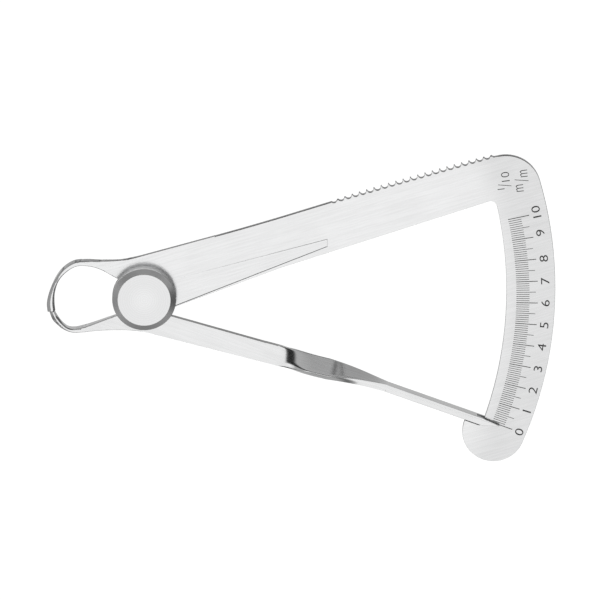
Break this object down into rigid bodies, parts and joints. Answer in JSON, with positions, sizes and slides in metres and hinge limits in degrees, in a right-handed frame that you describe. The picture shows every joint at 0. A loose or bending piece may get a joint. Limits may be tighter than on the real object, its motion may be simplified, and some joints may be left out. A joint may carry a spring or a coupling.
{
  "type": "spring thickness caliper",
  "caption": "Stainless spring caliper with bowed pinching jaws, a serrated scale arm and a twisted forked pointer arm on one pivot.",
  "frame": {"origin": "on the pivot axis, at the flat back of the pivot's head", "axes": "+Z along the pivot axis out of the scale's face, +X from the pivot to the scale, +Y from the pointer arm to the scale arm"},
  "size_m": [0.0969, 0.0606, 0.0059],
  "materials": {
    "satin_steel": "satin stainless steel",
    "turned_steel": "turned and polished stainless steel",
    "spring_steel": "tempered spring steel strip"
  },
  "bodies": {
    "scale_side": {"scale_arm": "satin_steel", "spring_drum": "turned_steel", "drum_pin_1": "turned_steel", "drum_pin_2": "turned_steel", "drum_pin_3": "turned_steel", "spring_anchor_pin": "turned_steel", "drive_spring": "spring_steel"},
    "pointer_side": {"pointer_arm": "satin_steel", "pivot_arbor": "turned_steel", "arbor_collar": "turned_steel"}
  },
  "joints": [
    {"name": "jaw_pivot", "type": "hinge", "parent": "scale_side", "child": "pointer_side", "pos_m": [0, 0, 0], "axis": [0, 0, 1], "range_deg": [0, 33], "stiffness_Nm_per_rad": 0.018, "springref_deg": -68.75, "deforming": ["drive_spring"]}
  ]
}
